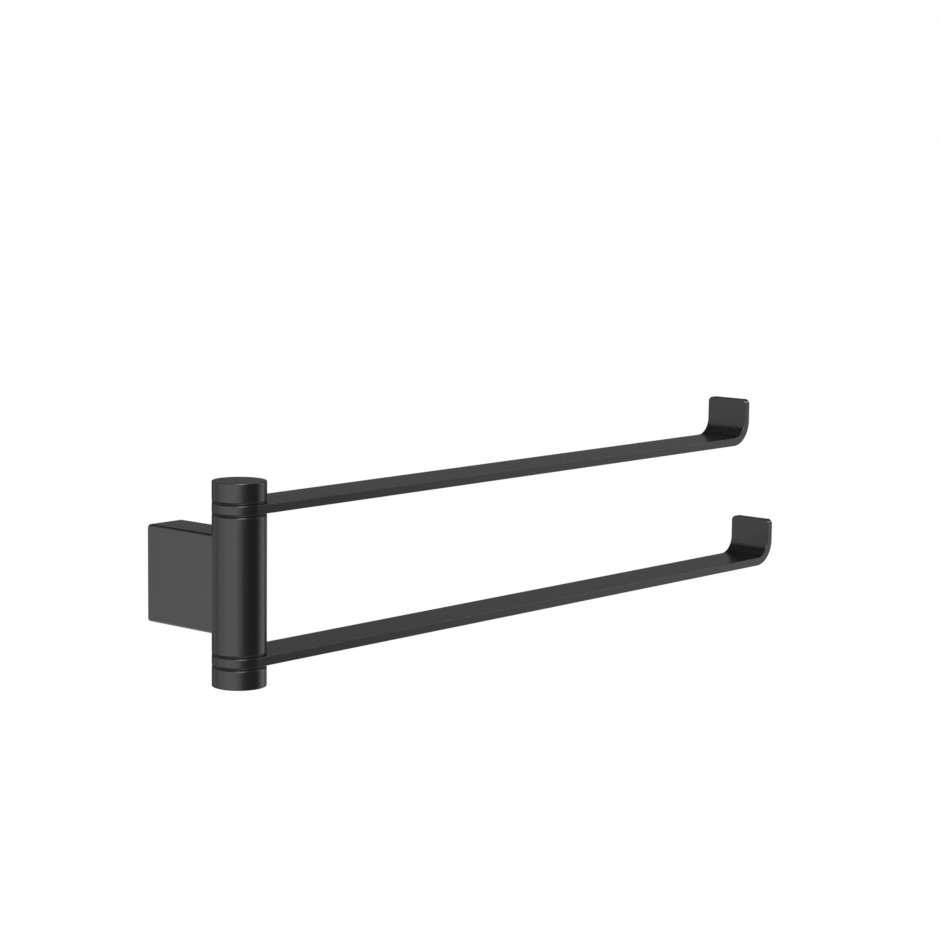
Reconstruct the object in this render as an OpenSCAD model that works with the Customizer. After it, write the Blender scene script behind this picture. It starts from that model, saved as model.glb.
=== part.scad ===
// Two-arm swing towel rail for a bathroom wall.
// The wall is the plane y = 0 and the rail stands out from it towards -Y.
// The origin is the middle of the block's face on the wall. At rest both arms lie along +X.

/* [Post] */
// Diameter of the barrel, the caps and the arms' round ends
post_d = 28; // [27:0.5:34]
// Height of each cap
cap_h = 10; // [9.5:0.5:16]
// Height between the middles of the two arms
arm_spacing = 78; // [72:1:120]
// Radius on the turned edges of the barrel and the caps
turned_edge_r = 0.4; // [0.2:0.1:1.2]

/* [Spacer washers] */
// Thickness of the washers on each side of an arm
washer_t = 1.3; // [0.8:0.1:2]
// How far the washers sit back from the post's surface
washer_inset = 0.1; // [0.1:0.1:1.5]
// Radius on the washers' outer edges
washer_edge_r = 0.4; // [0.1:0.1:0.6]

/* [Arms] */
// From the post's axis to the outer face of the upper arm's tip
upper_reach = 422; // [200:1:600]
// From the post's axis to the outer face of the lower arm's tip
lower_reach = 450; // [200:1:600]
// Thickness of the flat bar
arm_t = 4.8; // [4:0.1:6]
// Height of the upturned tip, from the underside of the bar
tip_h = 28; // [20:1:45]
// Inner radius of the bend below the tip
bend_r = 10; // [6:0.5:12]
// Radius on the tip's two upper corners
tip_corner_r = 3; // [1.5:0.5:4]
// Radius on the long edges of the bar
arm_edge_r = 0.4; // [0.2:0.1:1.5]

/* [Wall block] */
// From the wall to the post's axis
wall_to_post = 55; // [48:1:80]
// Width of the block along the wall
block_w = 25; // [22:0.5:26]
// Height of the block
block_h = 51; // [47:0.5:60]
// Thickness of the block's walls
block_wall = 3; // [2.5:0.1:3.5]
// Thickness of the web between the block's hollow and the barrel
block_web = 5; // [4:0.5:7]
// Radius on the block's four long edges
block_edge_r = 2; // [1:0.1:2.4]

/* [Wall plate] */
// Thickness of the plate inside the block
plate_t = 8; // [7:0.5:12]
// Diameter of the two wall screws' holes
screw_hole_d = 4.5; // [4:0.1:5]
// Height between the two wall screws' holes
screw_spacing = 26; // [20:1:28]
// Diameter of the countersinks for the wall screws' heads
screw_head_d = 8.6; // [7:0.1:10]
// Depth of the countersinks
screw_head_depth = 2.4; // [1.5:0.1:3.5]

/* [Spindle] */
// Diameter of the spindle
spindle_d = 10; // [9:0.5:11]
// Distance across the two flats that hold the keyed washers
spindle_flats = 8; // [7:0.5:8.5]
// Thread diameter of the stubs at the spindle's ends
stub_d = 6; // [5:0.5:6]
// Depth of the flat that the lock screw bears on
lock_flat_depth = 0.5; // [0.3:0.1:1]
// Wall of the bushes in the arms
bush_wall = 2; // [1:0.25:3]

/* [Clamping stack in each cap] */
// Outer diameter of the keyed washers
keyed_washer_d = 20; // [16:0.5:20]
// Thickness of the keyed washers
keyed_washer_t = 1.2; // [0.8:0.1:1.5]
// Outer diameter of the disc springs
disc_spring_d = 16; // [13:0.5:18]
// Thickness of the disc springs' sheet
disc_spring_t = 0.6; // [0.4:0.1:0.8]
// Height of the disc springs' cone, without the sheet's thickness
disc_spring_rise = 0.6; // [0.3:0.1:0.8]
// Width across the flats of the thin nuts
nut_flats = 10; // [9:0.5:11]
// Height of the thin nuts
nut_h = 3.2; // [2.5:0.1:3.5]
// Free height between a nut and the roof of its cap
nut_headroom = 0.4; // [0.2:0.1:0.6]
// Metal left between a stub's blind hole and the outside of the cap
cap_skin = 1.4; // [1:0.1:2]

/* [Screws] */
// Thread diameter of the barrel bolts
bolt_d = 5; // [4:0.5:5]
// Diameter of the barrel bolts' heads
bolt_head_d = 8.5; // [7:0.5:9]
// Height of the barrel bolts' heads
bolt_head_h = 5; // [4:0.5:6]
// Width across the flats of the barrel bolts' sockets
bolt_key = 4; // [3:0.5:4.5]
// Height between the two barrel bolts
bolt_spacing = 28; // [20:1:30]
// Length of thread that the barrel bolts have in the barrel
bolt_bite = 7.5; // [5:0.5:7.5]
// Outer diameter of the barrel bolts' washers
bolt_washer_d = 10; // [9.5:0.5:12]
// Thickness of the barrel bolts' washers
bolt_washer_t = 1; // [0.6:0.1:1.5]
// Thread diameter of the lock screw and of the block's grub screw
set_screw_d = 4; // [3:0.5:5]
// Width across the flats of their sockets
set_screw_key = 2; // [1.5:0.25:2.5]
// Length of the lock screw
lock_screw_l = 6; // [4:0.5:8]
// Diameter of the grub screw's point
point_d = 2.4; // [1.5:0.1:2.8]
// Length of the grub screw's point
point_l = 2; // [1:0.5:4]
// How far the grub screw sits inside the block's underside
grub_recess = 0.3; // [0.1:0.1:0.8]

/* [Fits] */
// Radial clearance round turning and threaded pieces
run_gap = 0.05; // [0.02:0.01:0.1]
// Radial clearance round the pressed bushes
press_gap = 0.02; // [0.01:0.01:0.03]
// Clearance at the sides of the wall plate
plate_gap = 0.2; // [0.1:0.05:0.4]
// Clearance past the end of a screw or stub in its blind hole
end_gap = 0.5; // [0.2:0.1:0.8]
// Clearance round the clamping stack inside its cap
recess_gap = 0.5; // [0.2:0.1:0.8]
// How far the spindle's shoulder stays below the keyed washer's face, so that the nut can clamp it
shoulder_drop = 0.3; // [0.1:0.1:0.5]

/* [Hidden] */
$fn = 64;

black = [0.07, 0.07, 0.07];
nylon = [0.04, 0.04, 0.04];
steel = [0.62, 0.63, 0.64];
zinc = [0.5, 0.51, 0.53];
// How far a cut runs past the surface that it opens
through = 1;

post_r = post_d / 2;
upper_arm_z = arm_spacing / 2 - arm_t / 2;
lower_arm_z = -arm_spacing / 2 - arm_t / 2;
barrel_half = upper_arm_z - washer_t;
stack_half = arm_spacing / 2 + arm_t / 2 + washer_t;
post_half = stack_half + cap_h;
washer_d = post_d - 2 * washer_inset;

spring_h = disc_spring_t + disc_spring_rise;
recess_h = keyed_washer_t + spring_h + nut_h + nut_headroom;
recess_d = keyed_washer_d + 2 * recess_gap;
stub_half = post_half - cap_skin - end_gap;

bush_d = spindle_d + 2 * run_gap + 2 * bush_wall;
hollow_w = block_w - 2 * block_wall;
hollow_h = block_h - 2 * block_wall;
hollow_depth = wall_to_post - post_r - block_web;
bolt_length = bolt_washer_t + block_web + bolt_bite;
plate_w = hollow_w - 2 * plate_gap;
plate_h = hollow_h - plate_gap;
plate_foot = hollow_h / 2 - plate_h;

// Moves a piece drawn about the Z axis onto the post's axis.
module at_post() {
    translate([0, -wall_to_post, 0])
        children();
}

// Flat section of width w and thickness t, centred, with all four corners rounded.
module rounded_section(w, t, r) {
    square([w - 2 * r, t], center = true);
    square([w, t - 2 * r], center = true);
    for (x = [-1, 1])
        for (y = [-1, 1])
            translate([x * (w / 2 - r), y * (t / 2 - r)])
                circle(r);
}

// Half section of a disc from its axis outwards, from y = 0 to y = h, with a rounded rim.
module rounded_rim(rim_r, h, r) {
    intersection() {
        translate([0, h / 2])
            rounded_section(2 * rim_r, h, r);
        square([rim_r, h]);
    }
}

// Turned piece of the post, from z = 0 up.
module turned(h) {
    rotate_extrude()
        rounded_rim(post_r, h, turned_edge_r);
}

// Flat ring from z = 0 up.
module ring(outer_d, inner_d, h) {
    difference() {
        cylinder(d = outer_d, h = h);
        translate([0, 0, -through])
            cylinder(d = inner_d, h = h + 2 * through);
    }
}

// Hexagonal bar of a given width across its flats, from z = 0 up.
module hex_bar(flats, h) {
    cylinder(d = flats / cos(30), h = h, $fn = 6);
}

// Upper corner of the tip, as a quarter of a flat disc about the X axis, turned to its side.
module tip_corner(turn) {
    rotate([0, 90, 0])
        rotate([0, 0, turn])
            rotate_extrude(angle = 90)
                rounded_rim(tip_corner_r, arm_t, arm_edge_r);
}

// Upturned end of an arm above its bend, with its inner face at x = 0 and the bar's underside at z = 0.
module tip() {
    bend_top = bend_r + arm_t;
    corner_z = tip_h - tip_corner_r;
    corner_y = post_r - tip_corner_r;
    translate([arm_t / 2, 0, bend_top])
        linear_extrude(corner_z - bend_top)
            rounded_section(arm_t, post_d, arm_edge_r);
    translate([0, corner_y, corner_z])
        rotate([90, 0, 0])
            linear_extrude(2 * corner_y)
                intersection() {
                    translate([arm_t / 2, 0])
                        rounded_section(arm_t, 2 * tip_corner_r, arm_edge_r);
                    square([arm_t, tip_corner_r]);
                }
    translate([0, corner_y, corner_z])
        tip_corner(90);
    translate([0, -corner_y, corner_z])
        tip_corner(180);
}

// Flat bar bent up at its end, drawn about the post's axis with its underside at z = 0.
module arm(reach) {
    bend_x = reach - arm_t - bend_r;
    difference() {
        union() {
            rotate([0, 0, 90])
                rotate_extrude(angle = 180)
                    rounded_rim(post_r, arm_t, arm_edge_r);
            translate([0, 0, arm_t / 2])
                rotate([90, 0, 90])
                    linear_extrude(bend_x)
                        rounded_section(post_d, arm_t, arm_edge_r);
            translate([bend_x, 0, arm_t + bend_r])
                rotate([90, 0, 0])
                    rotate([0, 0, -90])
                        rotate_extrude(angle = 90)
                            translate([bend_r + arm_t / 2, 0])
                                rounded_section(arm_t, post_d, arm_edge_r);
            translate([reach - arm_t, 0, 0])
                tip();
        }
        translate([0, 0, -through])
            cylinder(d = bush_d + 2 * press_gap, h = arm_t + 2 * through);
    }
}

// Solid block from the wall to the post's axis, before it is hollowed.
module block_blank() {
    rotate([90, 0, 0])
        linear_extrude(wall_to_post)
            rounded_section(block_w, block_h, block_edge_r);
}

module wall_block() {
    color(black)
        difference() {
            block_blank();
            at_post()
                cylinder(r = post_r + run_gap, h = block_h + 2 * through, center = true);
            translate([-hollow_w / 2, -hollow_depth, -hollow_h / 2])
                cube([hollow_w, hollow_depth + through, hollow_h]);
            for (z = [-1, 1])
                translate([0, -hollow_depth + through, z * bolt_spacing / 2])
                    rotate([90, 0, 0])
                        cylinder(d = bolt_d + 2 * run_gap, h = block_web + post_r);
            translate([0, -plate_t / 2, -block_h / 2 - through])
                cylinder(d = set_screw_d + 2 * run_gap, h = block_wall + 2 * through);
        }
}

module wall_plate() {
    color(zinc)
        difference() {
            translate([-plate_w / 2, -plate_t, plate_foot])
                cube([plate_w, plate_t, plate_h]);
            for (z = [-1, 1])
                translate([0, through, z * screw_spacing / 2])
                    rotate([90, 0, 0]) {
                        cylinder(d = screw_hole_d, h = plate_t + 2 * through);
                        translate([0, 0, plate_t + through - screw_head_depth])
                            cylinder(d1 = screw_hole_d, d2 = screw_head_d, h = screw_head_depth);
                    }
            translate([0, -plate_t / 2, plate_foot - through])
                cylinder(d = point_d + 2 * run_gap, h = through + point_l + end_gap);
        }
}

// Set screw from z = 0 up, with its socket below.
module set_screw(length) {
    difference() {
        cylinder(d = set_screw_d, h = length);
        translate([0, 0, -through])
            hex_bar(set_screw_key, through + length / 2);
    }
}

module block_grub_screw() {
    body_l = block_h / 2 + plate_foot - grub_recess;
    color(steel)
        translate([0, -plate_t / 2, -block_h / 2 + grub_recess]) {
            set_screw(body_l);
            translate([0, 0, body_l])
                cylinder(d = point_d, h = point_l);
        }
}

module barrel() {
    color(black)
        at_post()
            difference() {
                translate([0, 0, -barrel_half])
                    turned(2 * barrel_half);
                cylinder(d = spindle_d + 2 * run_gap, h = 2 * barrel_half + 2 * through, center = true);
                for (z = [-1, 1])
                    translate([0, post_r - bolt_bite - end_gap, z * bolt_spacing / 2])
                        rotate([-90, 0, 0])
                            cylinder(d = bolt_d + 2 * run_gap, h = bolt_bite + end_gap + through);
                rotate([-90, 0, 0])
                    cylinder(d = set_screw_d + 2 * run_gap, h = post_r + through);
            }
}

// Socket screw with its thread along -Z from z = 0 and its head above.
module socket_screw(length) {
    translate([0, 0, -length])
        cylinder(d = bolt_d, h = length);
    difference() {
        cylinder(d = bolt_head_d, h = bolt_head_h);
        translate([0, 0, bolt_head_h / 2])
            hex_bar(bolt_key, bolt_head_h);
    }
}

module barrel_bolts() {
    color(steel)
        for (z = [-1, 1])
            translate([0, -hollow_depth + bolt_washer_t, z * bolt_spacing / 2])
                rotate([-90, 0, 0])
                    socket_screw(bolt_length);
}

module barrel_bolt_washers() {
    color(steel)
        for (z = [-1, 1])
            translate([0, -hollow_depth, z * bolt_spacing / 2])
                rotate([-90, 0, 0])
                    ring(bolt_washer_d, bolt_d + 2 * run_gap, bolt_washer_t);
}

// Two-flat section of the spindle, or of a bore that fits it with a clearance all round.
module two_flat_section(gap) {
    intersection() {
        circle(d = spindle_d + 2 * gap);
        square([spindle_d + 2 * gap + through, spindle_flats + 2 * gap], center = true);
    }
}

module spindle() {
    shoulder = stack_half + keyed_washer_t - shoulder_drop;
    color(steel)
        at_post()
            difference() {
                union() {
                    cylinder(d = spindle_d, h = 2 * stack_half, center = true);
                    linear_extrude(2 * shoulder, center = true)
                        two_flat_section(0);
                    cylinder(d = stub_d, h = 2 * stub_half, center = true);
                }
                translate([-spindle_d / 2, spindle_d / 2 - lock_flat_depth, -set_screw_d])
                    cube([spindle_d, spindle_d, 2 * set_screw_d]);
            }
}

module spindle_lock_screw() {
    color(steel)
        at_post()
            translate([0, spindle_d / 2 - lock_flat_depth + lock_screw_l, 0])
                rotate([90, 0, 0])
                    set_screw(lock_screw_l);
}

module upper_arm() {
    color(black)
        at_post()
            translate([0, 0, upper_arm_z])
                arm(upper_reach);
}

module lower_arm() {
    color(black)
        at_post()
            translate([0, 0, lower_arm_z])
                arm(lower_reach);
}

module arm_bush(z) {
    color(nylon)
        at_post()
            translate([0, 0, z])
                ring(bush_d, spindle_d + 2 * run_gap, arm_t);
}

module upper_arm_bush() {
    arm_bush(upper_arm_z);
}

module lower_arm_bush() {
    arm_bush(lower_arm_z);
}

module spacer_washer(z) {
    color(nylon)
        at_post()
            translate([0, 0, z])
                difference() {
                    rotate_extrude()
                        rounded_rim(washer_d / 2, washer_t, washer_edge_r);
                    translate([0, 0, -through])
                        cylinder(d = spindle_d + 2 * run_gap, h = washer_t + 2 * through);
                }
}

module upper_arm_top_washer() {
    spacer_washer(upper_arm_z + arm_t);
}

module upper_arm_bottom_washer() {
    spacer_washer(barrel_half);
}

module lower_arm_top_washer() {
    spacer_washer(lower_arm_z + arm_t);
}

module lower_arm_bottom_washer() {
    spacer_washer(-stack_half);
}

// Places the pieces of a clamping stack: up inside the top cap, or down inside the bottom cap.
module in_cap(up) {
    at_post()
        rotate([up ? 0 : 180, 0, 0])
            translate([0, 0, stack_half])
                children();
}

module keyed_washer(up) {
    color(steel)
        in_cap(up)
            difference() {
                cylinder(d = keyed_washer_d, h = keyed_washer_t);
                translate([0, 0, -through])
                    linear_extrude(keyed_washer_t + 2 * through)
                        two_flat_section(run_gap);
            }
}

module disc_spring(up) {
    inner_r = stub_d / 2 + run_gap;
    outer_r = disc_spring_d / 2;
    color(steel)
        in_cap(up)
            translate([0, 0, keyed_washer_t])
                rotate_extrude()
                    polygon([
                        [outer_r, 0],
                        [outer_r, disc_spring_t],
                        [inner_r, spring_h],
                        [inner_r, disc_spring_rise]
                    ]);
}

module thin_nut(up) {
    color(steel)
        in_cap(up)
            translate([0, 0, keyed_washer_t + spring_h])
                difference() {
                    hex_bar(nut_flats, nut_h);
                    translate([0, 0, -through])
                        cylinder(d = stub_d + 2 * run_gap, h = nut_h + 2 * through);
                }
}

module cap(up) {
    color(black)
        in_cap(up)
            difference() {
                turned(cap_h);
                translate([0, 0, -through])
                    cylinder(d = recess_d, h = recess_h + through);
                translate([0, 0, -through])
                    cylinder(d = stub_d + 2 * run_gap, h = cap_h - cap_skin + through);
            }
}

module upper_keyed_washer() {
    keyed_washer(true);
}

module upper_disc_spring() {
    disc_spring(true);
}

module upper_nut() {
    thin_nut(true);
}

module top_cap() {
    cap(true);
}

module lower_keyed_washer() {
    keyed_washer(false);
}

module lower_disc_spring() {
    disc_spring(false);
}

module lower_nut() {
    thin_nut(false);
}

module bottom_cap() {
    cap(false);
}

wall_plate();
wall_block();
block_grub_screw();
barrel();
barrel_bolts();
barrel_bolt_washers();
spindle();
spindle_lock_screw();
upper_arm();
upper_arm_bush();
lower_arm();
lower_arm_bush();
upper_arm_top_washer();
upper_arm_bottom_washer();
lower_arm_top_washer();
lower_arm_bottom_washer();
upper_keyed_washer();
upper_disc_spring();
upper_nut();
top_cap();
lower_keyed_washer();
lower_disc_spring();
lower_nut();
bottom_cap();
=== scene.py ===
"""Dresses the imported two-arm swing towel rail and stands it in a plain studio.

Lengths are in metres. The wall is the plane y = 0 and the rail stands out from it towards -Y,
with the post upright along Z and both arms along +X at rest.
"""

import logging
from abc import ABC, abstractmethod
from dataclasses import dataclass, replace
from enum import Enum

import bpy
import numpy as np
from mathutils import Euler, Matrix, Vector


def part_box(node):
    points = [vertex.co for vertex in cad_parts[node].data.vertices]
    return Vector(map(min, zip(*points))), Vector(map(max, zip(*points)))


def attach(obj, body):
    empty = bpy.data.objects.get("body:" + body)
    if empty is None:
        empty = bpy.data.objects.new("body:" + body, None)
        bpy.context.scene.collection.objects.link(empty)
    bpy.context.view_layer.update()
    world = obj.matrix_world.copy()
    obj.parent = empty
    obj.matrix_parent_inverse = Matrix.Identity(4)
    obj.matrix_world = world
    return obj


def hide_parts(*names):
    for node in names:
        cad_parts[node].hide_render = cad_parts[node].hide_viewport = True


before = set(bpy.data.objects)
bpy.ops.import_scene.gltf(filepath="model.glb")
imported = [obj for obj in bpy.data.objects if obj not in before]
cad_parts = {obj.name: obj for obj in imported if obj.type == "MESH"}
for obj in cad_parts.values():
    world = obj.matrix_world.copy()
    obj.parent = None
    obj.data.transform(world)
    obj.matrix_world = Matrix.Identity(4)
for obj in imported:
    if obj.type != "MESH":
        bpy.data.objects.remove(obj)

Pair = tuple[float, float]
Triple = tuple[float, float, float]
Object, Node, Socket = bpy.types.Object, bpy.types.Node, bpy.types.NodeSocket
# What an input can be fed with: another socket, a number, a vector or a colour
Source = Socket | float | tuple[float, ...]

LOG = logging.getLogger("towel_rail")
# Where the post's axis stands, in X and Y
POST_AXIS = (0.0, -0.055)
# Radius of the post, which is also half the arms' width
POST_RADIUS = 0.014
ARM_THICKNESS = 0.0048
# Heights of the arms' undersides
UPPER_ARM_FOOT, LOWER_ARM_FOOT = 0.0366, -0.0414
# Edge of the bins in which points that meet are made one, and how far the bins are set off,
# in shares of a bin, so that no named size falls on the side of one
WELD, BIN_OFFSET = 1e-6, 0.4142
# Steps in which a quarter circle of a fillet and a full turn are drawn
FILLET_STEPS, TURN_STEPS = 10, 128
# Most that a new skin's box may differ from its solid's
FIT_TOLERANCE = 0.00006
# Types of a node group's sockets
FLOAT, COLOUR = "NodeSocketFloat", "NodeSocketColor"
# Levels of detail in the noises: fine grain, waviness, drift of colour, marks in steel
GRAIN_DETAIL, WAVE_DETAIL, DRIFT_DETAIL, MARK_DETAIL = 2.0, 1.0, 3.0, 3.0
# The part of a noise's range that a colour's drift makes use of
DRIFT_RANGE = (0.3, 0.7)
WHITE = (1.0, 1.0, 1.0, 1.0)


class Slot(Enum):
    """The record's material slots."""

    BLACK_COAT = "black_coat"
    BLACK_NYLON = "black_nylon"
    BRIGHT_STEEL = "bright_steel"
    PLATED_STEEL = "plated_steel"


class Body(Enum):
    """The bodies that the pieces ride on."""

    POST = "post"
    UPPER = "upper_swing"
    LOWER = "lower_swing"


class Lie(Enum):
    """Which way up a turned piece lies on the post."""

    UP = 1.0
    DOWN = -1.0


# ---- Points, lines and skins ----


def points_of(*coordinates: np.ndarray | float) -> np.ndarray:
    """Points from their coordinates, each of which is spread to the shape of them all."""
    return np.stack(np.broadcast_arrays(*coordinates), -1)


def lift(flat: np.ndarray, height: np.ndarray | float) -> np.ndarray:
    """Flat points with a height as their third coordinate."""
    return points_of(flat[..., 0], flat[..., 1], height)


def directions(angle: np.ndarray) -> np.ndarray:
    """The unit vector (cos a, sin a) of each angle a, in radians."""
    return points_of(np.cos(angle), np.sin(angle))


def between(first: np.ndarray, last: np.ndarray, shares: tuple[float, ...]) -> np.ndarray:
    """Rows of points, each row at its share of the way from the first line to the last."""
    return first + (last - first) * np.array(shares)[:, None, None]


def grid_quads(rows: int, columns: int) -> np.ndarray:
    """The quads between the rows and columns of a grid of points.

    Args:
        rows: Number of rows of points.
        columns: Number of points in each row.

    Returns:
        The numbers of each quad's corners, one quad a row.
    """
    index = np.arange(rows * columns).reshape(rows, columns)
    quads = np.stack([index[:-1, :-1], index[1:, :-1], index[1:, 1:], index[:-1, 1:]], -1)
    return quads.reshape(-1, 4)


def show(name: str, data: bpy.types.ID) -> Object:
    """Makes an object of its data and puts it into the scene.

    Args:
        name: Name of the object.
        data: Its mesh, light or camera.

    Returns:
        The new object, at the origin.
    """
    made = bpy.data.objects.new(name, data)
    bpy.context.scene.collection.objects.link(made)
    return made


class Line:
    """A flat line of straight runs and arcs that keeps its outward normal at every point.

    A run's normal lies to the right of its direction, and an arc's points away from its centre.
    A corner where the normal jumps needs a new line.
    """

    def __init__(self) -> None:
        """Starts an empty line."""
        self._points: list[np.ndarray] = []
        self._normals: list[np.ndarray] = []

    def run(self, start: Pair, end: Pair, steps: int = 1) -> "Line":
        """Adds a straight run.

        Args:
            start: First point.
            end: Last point.
            steps: Number of equal steps.

        Returns:
            The line itself.
        """
        share = np.linspace(0.0, 1.0, steps + 1)[:, None]
        a, b = np.array(start, float), np.array(end, float)
        along = (b - a) / np.linalg.norm(b - a)
        self._join(a + (b - a) * share, np.tile([along[1], -along[0]], (steps + 1, 1)))
        return self

    def arc(
        self,
        centre: Pair,
        radius: float,
        start_deg: float,
        end_deg: float,
        steps: int = FILLET_STEPS,
    ) -> "Line":
        """Adds an arc: the centre plus the radius times the direction of each angle.

        Args:
            centre: Centre of the arc.
            radius: Its radius.
            start_deg: Angle of its first point.
            end_deg: Angle of its last point.
            steps: Number of equal steps.

        Returns:
            The line itself.
        """
        way = directions(np.radians(np.linspace(start_deg, end_deg, steps + 1)))
        self._join(np.array(centre, float) + radius * way, way)
        return self

    def _join(self, points: np.ndarray, normals: np.ndarray) -> None:
        """Adds points and normals, leaving out a first point that is there already.

        Args:
            points: Points, one row each.
            normals: The outward normal at each of them.
        """
        skip = 1 if self._points else 0
        self._points.append(points[skip:])
        self._normals.append(normals[skip:])

    @property
    def points(self) -> np.ndarray:
        """The line's points, one row each."""
        return np.concatenate(self._points)

    @property
    def normals(self) -> np.ndarray:
        """The outward normal at each point."""
        return np.concatenate(self._normals)


class Skin:
    """A closed skin made of grids of points whose edges are welded together."""

    def __init__(self) -> None:
        """Starts an empty skin."""
        self._points: list[np.ndarray] = []
        self._normals: list[np.ndarray] = []
        self._quads: list[np.ndarray] = []
        self._count = 0

    def grid(self, points: np.ndarray, normals: np.ndarray | tuple[float, ...]) -> None:
        """Adds a grid of points as quads that face the way its normals point.

        Args:
            points: Points, as rows by columns by 3.
            normals: Outward normals, in a shape that spreads to that of the points.
        """
        flat = points.reshape(-1, 3)
        outward = np.broadcast_to(normals, points.shape).reshape(-1, 3)
        quads = grid_quads(*points.shape[:2])
        a, b, c, d = (flat[quads[:, corner]] for corner in range(4))
        if np.sum(np.cross(c - a, d - b) * outward[quads].sum(1)) < 0.0:
            quads = quads[:, ::-1]
        self._points.append(flat)
        self._normals.append(outward)
        self._quads.append(quads + self._count)
        self._count += len(flat)

    def turn(self, line: Line, axis: Pair) -> None:
        """Adds a line of (radius, height) turned about an upright axis.

        A point at angle a lies at the axis plus its radius times (cos a, sin a), at its height.

        Args:
            line: The line to turn.
            axis: Where the axis stands, in X and Y.
        """
        angle = np.linspace(0.0, 2.0 * np.pi, TURN_STEPS + 1)
        angle[-1] = 0.0
        c, s = np.cos(angle), np.sin(angle)
        r, z = line.points[:, 0:1], line.points[:, 1:2]
        out, rise = line.normals[:, 0:1], line.normals[:, 1:2]
        points = points_of(axis[0] + r * c, axis[1] + r * s, z)
        self.grid(points, points_of(out * c, out * s, rise))

    def piece(self, name: str) -> Object:
        """Welds the grids and makes them an object with their exact normals.

        Points in the same bin become one. A quad with two corners in one point becomes a triangle,
        and one with fewer than three different corners is left out.

        Args:
            name: Name of the object.

        Returns:
            The new object, in the scene.
        """
        points = np.concatenate(self._points)
        normals = np.concatenate(self._normals)
        quads = np.concatenate(self._quads)
        bins = np.floor(points / WELD + BIN_OFFSET).astype(np.int64)
        _, first, welded = np.unique(bins, axis=0, return_index=True, return_inverse=True)
        corners = welded.reshape(-1)[quads]
        keep = corners != np.roll(corners, 1, axis=1)
        keep &= keep.sum(1, keepdims=True) >= 3
        sides = keep.sum(1)
        sides = sides[sides > 0]
        mesh = bpy.data.meshes.new(name)
        mesh.vertices.add(len(first))
        mesh.vertices.foreach_set("co", points[first].astype(np.float32).ravel())
        mesh.loops.add(int(sides.sum()))
        mesh.loops.foreach_set("vertex_index", corners[keep].astype(np.int32))
        mesh.polygons.add(len(sides))
        starts = np.concatenate([[0], np.cumsum(sides)[:-1]])
        mesh.polygons.foreach_set("loop_start", starts.astype(np.int32))
        mesh.polygons.foreach_set("use_smooth", np.ones(len(sides), bool))
        mesh.update(calc_edges=True)
        mesh.validate()
        mesh.normals_split_custom_set(normals[quads][keep].tolist())
        return show(name, mesh)


@dataclass(frozen=True)
class Window:
    """A rectangle with a round hole in it, as a ring of cells from the hole to the sides."""

    low: Pair
    high: Pair
    hole: Pair
    radius: float
    across: int
    along: int
    shares: tuple[float, ...] = (0.0, 0.45, 1.0)

    def sides(self) -> np.ndarray:
        """The rectangle's outline from its low corner round to it again.

        Returns:
            Flat points, one row each.
        """
        (x0, y0), (x1, y1) = self.low, self.high
        line = Line().run((x0, y0), (x1, y0), self.across).run((x1, y0), (x1, y1), self.along)
        return line.run((x1, y1), (x0, y1), self.across).run((x0, y1), (x0, y0), self.along).points

    def angles(self) -> np.ndarray:
        """The direction of each outline point from the hole's middle, in radians."""
        way = self.sides() - np.array(self.hole)
        return np.arctan2(way[:, 1], way[:, 0])

    def ring(self, angles: np.ndarray, radius: float) -> np.ndarray:
        """Points of a circle about the hole's middle, one for each angle."""
        return np.array(self.hole) + radius * directions(angles)

    def cells(self, angles: np.ndarray) -> np.ndarray:
        """The grid from the hole's edge, at the given angles, to the sides, row by row."""
        return between(self.ring(angles, self.radius), self.sides(), self.shares)


# ---- Finishes ----


class Nodes:
    """A short way to add shader nodes to a tree and to feed their sockets."""

    def __init__(self, tree: bpy.types.NodeTree) -> None:
        """Takes the tree that the nodes go into."""
        self.tree = tree

    @classmethod
    def of(cls, owner: bpy.types.Material | bpy.types.World) -> "Nodes":
        """The helper for a material's or a world's own tree, which is emptied first.

        Args:
            owner: The material or the world.

        Returns:
            The helper.
        """
        owner.use_nodes = True
        owner.node_tree.nodes.clear()
        return cls(owner.node_tree)

    def feed(self, target: Socket, source: Source) -> None:
        """Links an input to another socket, or gives it a value.

        Args:
            target: The input.
            source: What feeds it.
        """
        if isinstance(source, Socket):
            self.tree.links.new(source, target)
        else:
            target.default_value = source

    def add(
        self,
        kind: str,
        place: Pair,
        inputs: dict[str | int, Source] | None = None,
        **settings: object,
    ) -> Node:
        """Adds a node.

        Args:
            kind: Type of the node.
            place: Where it lies in the editor.
            inputs: What feeds each input, by the input's name or number.
            **settings: Other settings of the node.

        Returns:
            The new node.
        """
        node = self.tree.nodes.new(kind)
        node.location = place
        for name, value in settings.items():
            setattr(node, name, value)
        for key, source in (inputs or {}).items():
            self.feed(node.inputs[key], source)
        return node

    def math(self, operation: str, place: Pair, first: Source, second: Source) -> Socket:
        """Adds a Math node, feeds its first two inputs and gives its output."""
        inputs = {0: first, 1: second}
        return self.add("ShaderNodeMath", place, inputs, operation=operation).outputs[0]


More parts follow.
